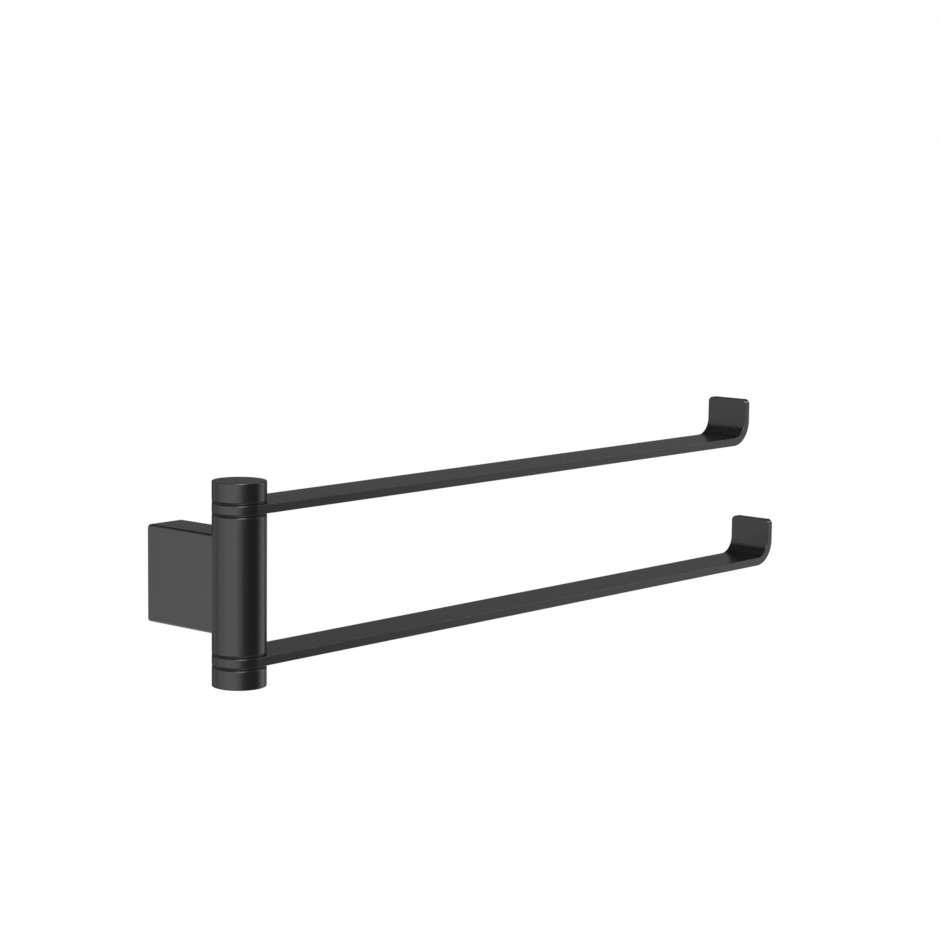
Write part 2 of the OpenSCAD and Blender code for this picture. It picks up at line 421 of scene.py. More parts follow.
class Effects:
    """The node groups that more than one finish uses, each built once."""

    def __init__(self) -> None:
        """Builds the groups."""
        self.grain = self._grain()
        self.drift = self._drift()

    @staticmethod
    def _group(
        name: str, inputs: dict[str, tuple[str, Source]], output: tuple[str, str]
    ) -> tuple[Nodes, Node, Socket]:
        """Makes an empty group with its sockets.

        Args:
            name: Name of the group.
            inputs: Socket type and first value of each input, by name.
            output: Name and socket type of its output.

        Returns:
            The group's helper, its input node and the socket that its output is fed through.
        """
        tree = bpy.data.node_groups.new(name, "ShaderNodeTree")
        for label, (kind, value) in inputs.items():
            socket = tree.interface.new_socket(name=label, in_out="INPUT", socket_type=kind)
            socket.default_value = value
        tree.interface.new_socket(name=output[0], in_out="OUTPUT", socket_type=output[1])
        nodes = Nodes(tree)
        entry = nodes.add("NodeGroupInput", (-900, 0))
        return nodes, entry, nodes.add("NodeGroupOutput", (500, 0)).inputs[output[0]]

    def _grain(self) -> bpy.types.NodeTree:
        """Fine grain over a longer waviness, as a sprayed and baked or a moulded skin has.

        The height is a fine noise plus a coarse one, each times its own share.

        Returns:
            The group.
        """
        nodes, entry, height = self._group(
            "sprayed_grain",
            {
                "Grain Size": (FLOAT, 0.0003),
                "Wave Size": (FLOAT, 0.002),
                "Grain Share": (FLOAT, 0.5),
            },
            ("Height", FLOAT),
        )
        place = nodes.add("ShaderNodeTexCoord", (-900, -250)).outputs["Object"]
        noises = []
        parts = (("Grain Size", GRAIN_DETAIL, 150), ("Wave Size", WAVE_DETAIL, -150))
        for label, detail, row in parts:
            scale = nodes.math("DIVIDE", (-600, row), 1.0, entry.outputs[label])
            inputs = {"Vector": place, "Scale": scale, "Detail": detail}
            noises.append(nodes.add("ShaderNodeTexNoise", (-400, row), inputs).outputs[0])
        share = entry.outputs["Grain Share"]
        rest = nodes.math("SUBTRACT", (-200, -50), 1.0, share)
        fine = nodes.math("MULTIPLY", (0, 150), noises[0], share)
        coarse = nodes.math("MULTIPLY", (0, -100), noises[1], rest)
        nodes.feed(height, nodes.math("ADD", (250, 50), fine, coarse))
        return nodes.tree

    def _drift(self) -> bpy.types.NodeTree:
        """A colour that goes slowly from the darker to the lighter along a soft noise.

        Returns:
            The group.
        """
        nodes, entry, colour = self._group(
            "tone_drift",
            {
                "Darker": (COLOUR, (0.02, 0.02, 0.02, 1.0)),
                "Lighter": (COLOUR, (0.03, 0.03, 0.03, 1.0)),
                "Patch Size": (FLOAT, 0.03),
            },
            ("Color", COLOUR),
        )
        place = nodes.add("ShaderNodeTexCoord", (-900, -250)).outputs["Object"]
        scale = nodes.math("DIVIDE", (-600, 0), 1.0, entry.outputs["Patch Size"])
        inputs = {"Vector": place, "Scale": scale, "Detail": DRIFT_DETAIL}
        noise = nodes.add("ShaderNodeTexNoise", (-400, 0), inputs).outputs[0]
        inputs = {"Value": noise, "From Min": DRIFT_RANGE[0], "From Max": DRIFT_RANGE[1]}
        share = nodes.add("ShaderNodeMapRange", (-150, 0), inputs).outputs["Result"]
        inputs = {"Factor": share, "A": entry.outputs["Darker"], "B": entry.outputs["Lighter"]}
        mix = nodes.add("ShaderNodeMix", (200, 100), inputs, data_type="RGBA")
        nodes.feed(colour, mix.outputs["Result"])
        return nodes.tree


@dataclass(frozen=True)
class Finish(ABC):
    """A finish whose colour drifts slowly, with fine marks in its gloss and its height."""

    name: str
    darker: Triple
    lighter: Triple
    patch_size: float
    mark_depth: float
    smoothest: float
    roughest: float

    @abstractmethod
    def marks(self, nodes: Nodes, effects: Effects) -> Socket:
        """Adds the fine marks.

        Args:
            nodes: The helper for the material's tree.
            effects: The shared node groups.

        Returns:
            Their height, from 0 to 1.
        """

    @abstractmethod
    def constants(self) -> dict[str, float]:
        """The shader's own values that are the same all over, by socket."""

    def build(self, effects: Effects) -> bpy.types.Material:
        """Makes the material.

        The roughness goes from the smoothest to the roughest with the marks' height.

        Args:
            effects: The shared node groups.

        Returns:
            The new material.
        """
        material = bpy.data.materials.new(self.name)
        nodes = Nodes.of(material)
        tones = {
            "Darker": (*self.darker, 1.0),
            "Lighter": (*self.lighter, 1.0),
            "Patch Size": self.patch_size,
        }
        drift = nodes.add("ShaderNodeGroup", (0, 250), tones, node_tree=effects.drift)
        height = self.marks(nodes, effects)
        span = {"Value": height, "To Min": self.smoothest, "To Max": self.roughest}
        rough = nodes.add("ShaderNodeMapRange", (250, 0), span)
        relief = {"Height": height, "Distance": self.mark_depth}
        bump = nodes.add("ShaderNodeBump", (250, -250), relief)
        surface = {
            "Base Color": drift.outputs["Color"],
            "Roughness": rough.outputs["Result"],
            "Normal": bump.outputs["Normal"],
        }
        shader = nodes.add("ShaderNodeBsdfPrincipled", (500, 0), surface | self.constants())
        nodes.add("ShaderNodeOutputMaterial", (850, 0), {"Surface": shader.outputs[0]})
        return material


@dataclass(frozen=True)
class CoatedFinish(Finish):
    """A sprayed, baked or moulded skin that isn't metal: its marks are a fine grain."""

    grain_size: float
    wave_size: float
    grain_share: float
    gloss_level: float

    def marks(self, nodes: Nodes, effects: Effects) -> Socket:
        """Adds the grain.

        Args:
            nodes: The helper for the material's tree.
            effects: The shared node groups.

        Returns:
            Its height.
        """
        inputs = {
            "Grain Size": self.grain_size,
            "Wave Size": self.wave_size,
            "Grain Share": self.grain_share,
        }
        grain = nodes.add("ShaderNodeGroup", (0, -100), inputs, node_tree=effects.grain)
        return grain.outputs["Height"]

    def constants(self) -> dict[str, float]:
        """How strong the gloss is."""
        return {"Specular IOR Level": self.gloss_level}


@dataclass(frozen=True)
class SteelFinish(Finish):
    """Bare or plated steel: its marks are those left by turning or rolling."""

    mark_size: Triple

    def marks(self, nodes: Nodes, effects: Effects) -> Socket:
        """Adds the marks: a noise stretched to their size along each axis.

        Args:
            nodes: The helper for the material's tree.
            effects: The shared node groups, none of which the marks need.

        Returns:
            Their height.
        """
        place = nodes.add("ShaderNodeTexCoord", (-500, -150)).outputs["Object"]
        inputs = {"Vector": place, "Scale": tuple(1.0 / size for size in self.mark_size)}
        stretch = nodes.add("ShaderNodeMapping", (-300, -150), inputs, vector_type="POINT")
        inputs = {"Vector": stretch.outputs["Vector"], "Scale": 1.0, "Detail": MARK_DETAIL}
        return nodes.add("ShaderNodeTexNoise", (-80, -150), inputs).outputs[0]

    def constants(self) -> dict[str, float]:
        """That it is metal."""
        return {"Metallic": 1.0}


POWDER_COAT = CoatedFinish(
    name="black_powder_coat",
    darker=(0.0190, 0.0190, 0.0191),
    lighter=(0.0225, 0.0225, 0.0226),
    patch_size=0.035,
    grain_size=0.00035,
    wave_size=0.0018,
    grain_share=0.6,
    mark_depth=0.000007,
    smoothest=0.27,
    roughest=0.33,
    gloss_level=0.5,
)
# Painted light: the same black coat made paler and glossier for the wall block, so that its side
# shows the brighter light that falls on it
BLOCK_COAT_PAINTED_LIGHTER = replace(
    POWDER_COAT,
    name="black_powder_coat_painted_lighter",
    darker=(0.0232, 0.0232, 0.0233),
    lighter=(0.0270, 0.0270, 0.0271),
    gloss_level=0.78,
)
# Black moulded nylon for the washers and bushes, set darker and duller than the coat: partly the
# nylon's own colour and partly painted shade of the narrow grooves that the washers sit in
NYLON_WITH_PAINTED_GROOVE_SHADE = CoatedFinish(
    name="black_nylon_with_painted_groove_shade",
    darker=(0.010, 0.010, 0.0102),
    lighter=(0.013, 0.013, 0.0132),
    patch_size=0.012,
    grain_size=0.0002,
    wave_size=0.0012,
    grain_share=0.8,
    mark_depth=0.000008,
    smoothest=0.38,
    roughest=0.48,
    gloss_level=0.18,
)
TURNED_STEEL = SteelFinish(
    name="turned_bright_steel",
    darker=(0.50, 0.51, 0.52),
    lighter=(0.60, 0.61, 0.62),
    patch_size=0.008,
    mark_size=(0.02, 0.02, 0.00012),
    mark_depth=0.000004,
    smoothest=0.22,
    roughest=0.38,
)
ZINC_PLATE = SteelFinish(
    name="zinc_plated_steel",
    darker=(0.42, 0.43, 0.45),
    lighter=(0.55, 0.56, 0.57),
    patch_size=0.006,
    mark_size=(0.0004, 0.0004, 0.006),
    mark_depth=0.000005,
    smoothest=0.30,
    roughest=0.46,
)


class Finishes:
    """The materials of the rail, by the record's slots."""

    def __init__(self) -> None:
        """Builds the shared groups and one material for each slot."""
        effects = Effects()
        self._materials = {
            Slot.BLACK_COAT: POWDER_COAT.build(effects),
            Slot.BLACK_NYLON: NYLON_WITH_PAINTED_GROOVE_SHADE.build(effects),
            Slot.BRIGHT_STEEL: TURNED_STEEL.build(effects),
            Slot.PLATED_STEEL: ZINC_PLATE.build(effects),
        }
        # The wall block's copy of the coat, with painted light: paler and glossier
        self._painted_light_coat = BLOCK_COAT_PAINTED_LIGHTER.build(effects)

    def dress(self, piece: Object, slot: Slot, painted_light: bool = False) -> None:
        """Gives a piece its material in every slot that it has, or in a new one.

        Args:
            piece: The piece.
            slot: Where its finish is listed.
            painted_light: Whether it takes the copy of the coat painted paler and glossier, for
                the brighter light on the wall block's side.
        """
        if not piece.material_slots:
            piece.data.materials.append(None)
        for place in piece.material_slots:
            place.material = self._painted_light_coat if painted_light else self._materials[slot]


def settle(
    piece: Object,
    node: str,
    body: Body,
    slot: Slot,
    finishes: Finishes,
    painted_light: bool = False,
) -> None:
    """Lets a new skin stand for its solid, ride on its body and take its finish.

    Args:
        piece: The new skin.
        node: The solid that it stands for.
        body: The body that it rides on.
        slot: Where its finish is listed.
        finishes: The materials.
        painted_light: Whether it takes the coat painted paler and glossier for the brighter light
            on the wall block.
    """
    finishes.dress(piece, slot, painted_light)
    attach(piece, body.value)
    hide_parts(node)
    corners = np.array([vertex.co for vertex in piece.data.vertices])
    solid = np.array([list(corner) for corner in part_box(node)])
    off = float(np.abs(np.stack([corners.min(0), corners.max(0)]) - solid).max())
    faces = len(piece.data.polygons)
    LOG.info("%s: %d faces, %.3f mm off its solid's box", piece.name, faces, off * 1000)
    if off > FIT_TOLERANCE:
        LOG.warning("%s doesn't fit its solid %s", piece.name, node)


# ---- Sub-assemblies ----


@dataclass
class Post:
    """The upright post: its barrel, its two caps and the four spacer washers in its grooves."""

    axis: Pair = POST_AXIS
    radius: float = POST_RADIUS
    edge_radius: float = 0.0004
    barrel_half: float = 0.0353
    stack_half: float = 0.0427
    cap_height: float = 0.010
    cap_skin: float = 0.0014
    cap_rings: int = 6
    recess_radius: float = 0.0105
    recess_height: float = 0.006
    stub_bore: float = 0.00305
    spindle_bore: float = 0.00505
    washer_radius: float = 0.0139
    washer_thickness: float = 0.0013
    washer_edge: float = 0.0004
    washer_edge_steps: int = 6
    turning_gap: float = 0.00002
    arm_undersides: Pair = (UPPER_ARM_FOOT, LOWER_ARM_FOOT)
    arm_thickness: float = ARM_THICKNESS

    def _outside(
        self, low: Pair, high: Pair, radius: float, edge: float, steps: int = FILLET_STEPS
    ) -> Line:
        """The outside of a turned piece: lower face, rounded edge, side, rounded edge, upper face.

        Args:
            low: Inner radius and height of the lower face.
            high: Inner radius and height of the upper face.
            radius: Outer radius.
            edge: Radius of the two rounded edges.
            steps: Number of steps round each edge.

        Returns:
            The line, as (radius, height). A face that reaches the axis has more rings.
        """
        start, end = (self.cap_rings if inner == 0.0 else 1 for inner, _ in (low, high))
        foot, top, shoulder = low[1] + edge, high[1] - edge, radius - edge
        line = Line().run(low, (shoulder, low[1]), start)
        line.arc((shoulder, foot), edge, -90.0, 0.0, steps).run((radius, foot), (radius, top))
        line.arc((shoulder, top), edge, 0.0, 90.0, steps)
        return line.run((shoulder, high[1]), high, end)

    def _turned(self, outside: Line, inside: list[Pair]) -> Skin:
        """Turns a piece about the post's axis.

        Args:
            outside: Its outside.
            inside: The corners of its inside, whose straight runs have a normal each.

        Returns:
            Its skin.
        """
        skin = Skin()
        skin.turn(outside, self.axis)
        for start, end in zip(inside[:-1], inside[1:]):
            skin.turn(Line().run(start, end), self.axis)
        return skin

    def barrel(self) -> Skin:
        """The barrel: a tube whose outer edges are rounded."""
        low, high = (self.spindle_bore, -self.barrel_half), (self.spindle_bore, self.barrel_half)
        return self._turned(self._outside(low, high, self.radius, self.edge_radius), [high, low])

    def cap(self, lie: Lie) -> Skin:
        """A cap: a disc with rounded edges over a recess and a blind bore.

        Args:
            lie: UP for the top cap, DOWN for the bottom one.

        Returns:
            Its skin.
        """
        foot, up = self.stack_half, lie.value
        roof, top = foot + self.recess_height, foot + self.cap_height
        deep = top - self.cap_skin
        faces = [(self.recess_radius, up * foot), (0.0, up * top)]
        inside = [
            (0.0, up * deep),
            (self.stub_bore, up * deep),
            (self.stub_bore, up * roof),
            (self.recess_radius, up * roof),
            (self.recess_radius, up * foot),
        ]
        if lie is Lie.DOWN:
            faces.reverse()
            inside.reverse()
        return self._turned(self._outside(*faces, self.radius, self.edge_radius), inside)

    def washer(self, foot: float, top: float) -> Skin:
        """A spacer washer.

        Args:
            foot: Height of its lower face.
            top: Height of its upper face.

        Returns:
            Its skin.
        """
        low, high = (self.spindle_bore, foot), (self.spindle_bore, top)
        shape = (self.washer_radius, self.washer_edge, self.washer_edge_steps)
        return self._turned(self._outside(low, high, *shape), [high, low])

    def build(self, finishes: Finishes) -> None:
        """Makes the post's pieces.

        Args:
            finishes: The materials.
        """
        coat, nylon = Slot.BLACK_COAT, Slot.BLACK_NYLON
        turned = {
            "barrel": (self.barrel(), coat),
            "top_cap": (self.cap(Lie.UP), coat),
            "bottom_cap": (self.cap(Lie.DOWN), coat),
        }
        for level, underside in zip(("upper", "lower"), self.arm_undersides):
            lid, thick = underside + self.arm_thickness, self.washer_thickness
            above = self.washer(lid + self.turning_gap, lid + thick)
            below = self.washer(underside - thick, underside - self.turning_gap)
            # The washers take the nylon whose darker colour also paints the shade in the post's
            # grooves
            turned[f"{level}_arm_top_washer"] = (above, nylon)
            turned[f"{level}_arm_bottom_washer"] = (below, nylon)
        for node, (skin, slot) in turned.items():
            settle(skin.piece(f"{node}_skin"), node, Body.POST, slot, finishes)


@dataclass
class SwingArm:
    """An arm: a flat bar with a round eye on the post, bent up into a tip at its far end."""

    node: str
    body: Body
    reach: float
    underside: float
    axis: Pair = POST_AXIS
    half_width: float = POST_RADIUS
    thickness: float = ARM_THICKNESS
    edge_radius: float = 0.0004
    bend_radius: float = 0.010
    tip_height: float = 0.028
    tip_corner: float = 0.003
    bore_radius: float = 0.00707
    eye_end: float = 0.018
    columns: int = 14
    eye_steps: int = 6
    bar_steps: int = 40
    bend_steps: int = 28
    tip_steps: int = 3
    round_steps: int = 64
    ring_shares: tuple[float, ...] = (0.0, 0.5, 1.0)

    @property
    def bend_start(self) -> float:
        """Where the bend starts, measured along the bar from the post's axis."""
        return self.reach - self.thickness - self.bend_radius

    @property
    def bend_length(self) -> float:
        """Length of the bend, halfway through the bar."""
        return (self.bend_radius + self.thickness / 2.0) * np.pi / 2.0

    @property
    def corner_start(self) -> float:
        """Where the tip's corners start, measured along the bar before it is bent."""
        upright = self.tip_height - self.thickness - self.bend_radius
        return self.bend_start + self.bend_length + upright - self.tip_corner

    def place(self, flat: np.ndarray, way: np.ndarray) -> tuple[np.ndarray, np.ndarray]:
        """Bends the flat bar's points and normals and carries them to the post.

        A point (run, y, h) lies that run along the bar, y across it and h above its underside.
        Up to the bend it stays where it is. In the bend it turns by an angle that grows with its
        run, about a line above the bar, at a radius of the inner radius plus its depth below the
        upper face. Past the bend it goes straight up.

        Args:
            flat: Points of the flat bar.
            way: Their normals.

        Returns:
            Points and normals in the row's frame.
        """
        run, y, h = flat[..., 0], flat[..., 1], flat[..., 2]
        angle = np.clip((run - self.bend_start) / self.bend_length, 0.0, 1.0) * np.pi / 2.0
        radius = self.bend_radius + self.thickness - h
        past = np.maximum(run - self.bend_start - self.bend_length, 0.0)
        x = np.minimum(run, self.bend_start) + radius * np.sin(angle)
        z = self.bend_radius + self.thickness - radius * np.cos(angle) + past
        points = points_of(self.axis[0] + x, self.axis[1] + y, self.underside + z)
        along, up, c, s = way[..., 0], way[..., 2], np.cos(angle), np.sin(angle)
        return points, points_of(along * c - up * s, way[..., 1], along * s + up * c)

    def _add(self, skin: Skin, flat: np.ndarray, way: np.ndarray | tuple[float, ...]) -> None:
        """Adds a grid of the flat bar to the skin, bent and in its place."""
        skin.grid(*self.place(flat, np.broadcast_to(way, flat.shape)))

    def outline(self) -> Line:
        """The flat bar's outline: side, tip's end with its corners, other side, round eye.

        Returns:
            The line, as (run along the bar, place across it).
        """
        w, c, start = self.half_width, self.tip_corner, self.corner_start
        bend_end = self.bend_start + self.bend_length
        stops = [0.0, self.eye_end, self.bend_start, bend_end, start]
        steps = [self.eye_steps, self.bar_steps, self.bend_steps, self.tip_steps]
        spans = list(zip(stops[:-1], stops[1:], steps))
        line = Line()
        for first, last, count in spans:
            line.run((first, -w), (last, -w), count)
        line.arc((start, c - w), c, -90.0, 0.0)
        line.run((start + c, c - w), (start + c, w - c), self.columns)
        line.arc((start, w - c), c, 0.0, 90.0)
        for first, last, count in reversed(spans):
            line.run((last, w), (first, w), count)
        return line.arc((0.0, 0.0), w, 90.0, 270.0, self.round_steps)

    def skin(self) -> Skin:
        """The whole arm: rim, two faces and bore.

        The rim is the profile of the bar's edge carried along the outline. The faces fill the
        outline inside the rim, straight across the bar, and in a ring round the bore.

        Returns:
            The skin, bent and in its place.
        """
        skin, r, t = Skin(), self.edge_radius, self.thickness
        line = self.outline()
        edge = Line().arc((-r, r), r, -90.0, 0.0).run((0.0, r), (0.0, t - r))
        edge.arc((-r, t - r), r, 0.0, 90.0)
        base, side = line.points[:, None], line.normals[:, None]
        spread = base + side * edge.points[:, :1]
        lean = side * edge.normals[:, :1]
        self._add(skin, lift(spread, edge.points[:, 1]), lift(lean, edge.normals[:, 1]))

        inset = line.points - line.normals * r
        first = self.eye_steps
        last = first + self.bar_steps + self.bend_steps + self.tip_steps + FILLET_STEPS
        rows = inset[first : last + 1]
        share = np.linspace(-1.0, 1.0, self.columns + 1)
        bar = points_of(rows[:, :1], -rows[:, 1:] * share)
        across = points_of(self.eye_end, (self.half_width - r) * share)
        back = len(inset) - 1 - self.round_steps - self.eye_steps
        loop = np.concatenate([inset[: first + 1], across[1:], inset[back + 1 :]])
        hole = self.bore_radius * directions(np.arctan2(loop[:, 1], loop[:, 0]))
        ring = between(hole, loop, self.ring_shares)
        for height, up in ((0.0, -1.0), (t, 1.0)):
            for cells in (bar, ring):
                self._add(skin, lift(cells, height), (0.0, 0.0, up))
        wall = np.stack([lift(hole, height) for height in (0.0, t)])
        self._add(skin, wall, lift(-hole / self.bore_radius, 0.0))
        return skin

    def build(self, finishes: Finishes) -> None:
        """Makes the arm, with its coat."""
        made = self.skin().piece(f"{self.node}_skin")
        settle(made, self.node, self.body, Slot.BLACK_COAT, finishes)


@dataclass
class WallBlock:
    """The hollow block between the wall and the post, open at the wall."""

    half_width: float = 0.0125
    half_height: float = 0.0255
    corner: float = 0.002
    wall: float = 0.003
    hollow_depth: float = 0.036
    wall_to_post: float = -POST_AXIS[1]
    saddle_radius: float = 0.01405
    screw_depth: float = 0.004
    screw_radius: float = 0.00205
    across: int = 12
    upright: int = 12
    near: int = 4
    far: int = 8

    @property
    def screw_bay(self) -> float:
        """How far the cells round the screw's hole reach from the wall."""
        return 2.0 * self.screw_depth

    def _front(self, x: np.ndarray) -> np.ndarray:
        """Where the block meets the post: the near side of the saddle's circle, by x."""
        return np.sqrt(self.saddle_radius**2 - x**2) - self.wall_to_post

    def outline(self) -> Line:
        """The outer section from one end of its underside round to the other.

        Returns:
            The line, as (x, z).
        """
        w, h, c = self.half_width, self.half_height, self.corner
        line = Line().arc((w - c, c - h), c, -90.0, 0.0).run((w, c - h), (w, h - c), self.upright)
        line.arc((w - c, h - c), c, 0.0, 90.0).run((w - c, h), (c - w, h), self.across)
        line.arc((c - w, h - c), c, 90.0, 180.0).run((-w, h - c), (-w, c - h), self.upright)
        return line.arc((c - w, c - h), c, 180.0, 270.0)

    def _depths(self, end: np.ndarray) -> np.ndarray:
        """Stations from the wall outwards: equal steps past the screw, then others to the end.

        Args:
            end: The last station's y, for each column.

        Returns:
            Stations by columns.
        """
        first = np.linspace(0.0, -self.screw_bay, self.near + 1)[:, None]
        share = np.linspace(0.0, 1.0, self.far + 1)[1:, None]
        rest = first[-1] + (end - first[-1]) * share
        return np.concatenate([np.repeat(first, len(end), 1), rest])

    def _floor(
        self, skin: Skin, half: float, z: float, end: np.ndarray, up: float, turn: np.ndarray
    ) -> None:
        """Adds the underside or the hollow's floor, with the screw's hole in it.

        Args:
            skin: Where it goes.
            half: Half its width.
            z: Its height.
            end: The y where it ends, for each column.
            up: 1 if it faces up, -1 if it faces down.
            turn: Directions of the points on the hole's edge.
        """
        skin.grid(lift(self.window(half).cells(turn), z), (0.0, 0.0, up))
        x = np.linspace(-half, half, self.across + 1)
        skin.grid(points_of(x, self._depths(end)[self.near :], z), (0.0, 0.0, up))

    def hollow_loop(self) -> np.ndarray:
        """The hollow's outline, point for point beside the outer section.

        Each corner is repeated along the fillet outside it, and each side has equal steps.

        Returns:
            Points in X and Z, one row each.
        """
        hw, hh = self.half_width - self.wall, self.half_height - self.wall
        corners = np.array([[hw, -hh], [hw, hh], [-hw, hh], [-hw, -hh]])
        counts = (self.upright, self.across) * 2
        rows = [corners[:1]]
        for here, there, count in zip(corners, np.roll(corners, -1, axis=0), counts):
            rows.append(np.repeat(here[None], FILLET_STEPS, 0))
            rows.append(here + (there - here) * np.linspace(0.0, 1.0, count + 1)[1:, None])
        return np.concatenate(rows)

    def window(self, half: float) -> Window:
        """The floor's cells round the screw's hole, from the wall to past the screw."""
        low, high, hole = (-half, -self.screw_bay), (half, 0.0), (0.0, -self.screw_depth)
        return Window(low, high, hole, self.screw_radius, self.across, self.near)

    def _saddle(self, skin: Skin) -> None:
        """Adds the hollow front that the post lies in: a part of the saddle's cylinder.

        Its columns run from side to side, and each is as high as the section is there.

        Args:
            skin: Where it goes.
        """
        w, h, c = self.half_width, self.half_height, self.corner
        left = Line().arc((c - w, 0.0), c, 180.0, 90.0).points
        middle = points_of(np.linspace(c - w, w - c, self.across + 1)[1:-1], c)
        x, rise = np.concatenate([left, middle, left[::-1] * [-1.0, 1.0]]).T
        share = np.linspace(-1.0, 1.0, self.upright + 1)[:, None]
        y = self._front(x)
        towards = -points_of(x, y + self.wall_to_post, 0.0) / self.saddle_radius
        skin.grid(points_of(x, y, (h - c + rise) * share), towards)

    def _hollow(self, skin: Skin, turn: np.ndarray) -> None:
        """Adds the hollow: floor, roof, two sides and back.

        Args:
            skin: Where it goes.
            turn: Directions of the points on the edge of the screw's hole.
        """
        half, high = self.half_width - self.wall, self.half_height - self.wall
        depth = -self.hollow_depth
        end = np.full(self.across + 1, depth)
        self._floor(skin, half, self.wall - self.half_height, end, 1.0, turn)
        x = np.linspace(-half, half, self.across + 1)
        z = np.linspace(-high, high, self.upright + 1)
        skin.grid(points_of(x, self._depths(end), high), (0.0, 0.0, -1.0))
        y = self._depths(np.full(self.upright + 1, depth))
        for side in (-1.0, 1.0):
            skin.grid(points_of(side * half, y, z), (-side, 0.0, 0.0))
        skin.grid(points_of(x, depth, z[:, None]), (0.0, 1.0, 0.0))

    def skin(self) -> Skin:
        """The whole block: outer walls, underside, saddle, hollow, rim and screw's hole.

        Returns:
            The skin, in its place.
        """
        skin, line = Skin(), self.outline()
        w, h, c = self.half_width, self.half_height, self.corner
        x, z = line.points.T
        out, rise = line.normals.T
        skin.grid(points_of(x, self._depths(self._front(x)), z), points_of(out, 0.0, rise))
        turn = self.window(w - c).angles()
        floor_x = np.linspace(c - w, w - c, self.across + 1)
        self._floor(skin, w - c, -h, self._front(floor_x), -1.0, turn)
        self._saddle(skin)
        self._hollow(skin, turn)

        outer = np.concatenate([line.points, points_of(floor_x, -h)[1:]])
        rim = np.stack([outer, self.hollow_loop()])
        skin.grid(points_of(rim[..., 0], 0.0, rim[..., 1]), (0.0, 1.0, 0.0))
        hole = self.window(w - c).ring(turn, self.screw_radius)
        bore = np.stack([lift(hole, level) for level in (-h, self.wall - h)])
        skin.grid(bore, lift(-directions(turn), 0.0))
        return skin

    def build(self, finishes: Finishes) -> None:
        """Makes the block, with its coat painted paler and glossier to show the brighter light on
        its side.
        """
        made = self.skin().piece("wall_block_skin")
        # The block takes the coat painted paler and glossier, as painted light on its side
        settle(made, "wall_block", Body.POST, Slot.BLACK_COAT, finishes, painted_light=True)


@dataclass
class InnerFittings:
    """The pieces that keep their solids' shapes: plate, screws, spindle, bushes and stacks."""

    plated: tuple[str, ...] = (
        "wall_plate",
        "barrel_bolts",
        "barrel_bolt_washers",
        "upper_keyed_washer",
        "lower_keyed_washer",
        "upper_nut",
        "lower_nut",
    )
    bright: tuple[str, ...] = (
        "block_grub_screw",
        "spindle",
        "spindle_lock_screw",
        "upper_disc_spring",
        "lower_disc_spring",
    )
    moulded: tuple[str, ...] = ("upper_arm_bush", "lower_arm_bush")

    def dress(self, finishes: Finishes) -> None:
        """Gives each solid its material and says which slot it is from.

        Args:
            finishes: The materials.
        """
        kinds = (Slot.PLATED_STEEL, Slot.BRIGHT_STEEL, Slot.BLACK_NYLON)
        for slot, nodes in zip(kinds, (self.plated, self.bright, self.moulded)):
            for node in nodes:
                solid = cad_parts[node]
                finishes.dress(solid, slot)
                LOG.info("%s: dressed in %s", node, slot.value)


# ---- Studio ----


@dataclass
class PhotoCamera:
    """The camera at the photograph's place."""

    place: Triple = (-0.91598, -1.01322, 0.23548)
    turn_deg: Triple = (82.4035, -0.6913, -48.6447)
    lens_mm: float = 101.2735
    sensor_mm: float = 36.0
    nearest: float = 0.01
    farthest: float = 100.0

    def build(self) -> None:
        """Makes the camera and lets the scene use it."""
        data = bpy.data.cameras.new("photo_camera")
        data.lens = self.lens_mm
        data.sensor_width = self.sensor_mm
        data.sensor_fit = "HORIZONTAL"
        data.clip_start, data.clip_end = self.nearest, self.farthest
        camera = show("photo_camera", data)
        turn = Euler(np.radians(self.turn_deg).tolist(), "XYZ").to_matrix().to_4x4()
        camera.matrix_world = Matrix.Translation(self.place) @ turn
        bpy.context.scene.camera = camera


@dataclass(frozen=True)
class SoftBox:
    """A soft light: a glowing panel that faces the rail, and may light its gloss alone."""

    name: str
    heading_deg: float
    rise_deg: float
    distance: float
    width: float
    height: float
    glow: float
    only_gloss: bool = False
    aim: Triple = (*POST_AXIS, 0.0)

    def build(self) -> None:
        """Makes the light. Its power is its glow times pi times its area."""
        data = bpy.data.lights.new(self.name, "AREA")
        data.shape = "RECTANGLE"
        data.size, data.size_y = self.width, self.height
        data.energy = self.glow * np.pi * self.width * self.height
        light = show(self.name, data)
        turn, rise = np.radians(self.heading_deg), np.radians(self.rise_deg)
        away = Vector((np.cos(rise) * np.cos(turn), np.cos(rise) * np.sin(turn), np.sin(rise)))
        light.rotation_euler = away.to_track_quat("Z", "Y").to_euler()
        light.location = Vector(self.aim) + away * self.distance
        light.visible_camera = False
        light.visible_diffuse = not self.only_gloss


